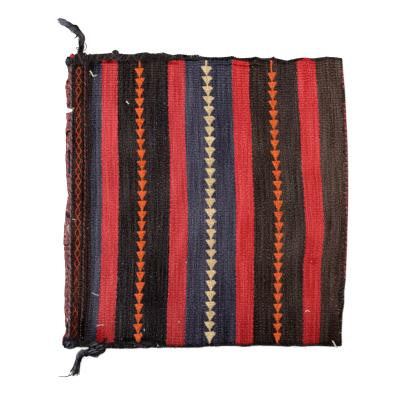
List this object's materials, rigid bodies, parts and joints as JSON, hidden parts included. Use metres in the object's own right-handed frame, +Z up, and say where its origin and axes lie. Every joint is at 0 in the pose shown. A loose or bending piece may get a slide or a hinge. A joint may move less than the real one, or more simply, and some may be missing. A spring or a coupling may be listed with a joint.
{
  "type": "flat-woven bag",
  "caption": "Flat-woven wool bag folded from one striped strip, open at one end, with overcast side seams and a yarn tassel near each mouth corner.",
  "frame": {"origin": "on the ground under the middle of the bag's outline, leaving out the tassels", "axes": "+Z up from the ground, +X from the open mouth towards the fold, +Y towards the right seam"},
  "size_m": [0.408, 0.5012, 0.0158],
  "materials": {
    "woven_wool": "weft-faced plain weave in red, brown, near-black and indigo wool bands",
    "goat_hair": "loosely spun dark wool and goat hair, slightly shiny"
  },
  "bodies": {
    "root": {"woven_body": "woven_wool", "right_corner_lashing": "goat_hair", "right_seam_binding": "goat_hair", "left_corner_lashing": "goat_hair", "left_seam_binding": "goat_hair", "right_tassel": "goat_hair", "left_tassel": "goat_hair"}
  },
  "joints": []
}
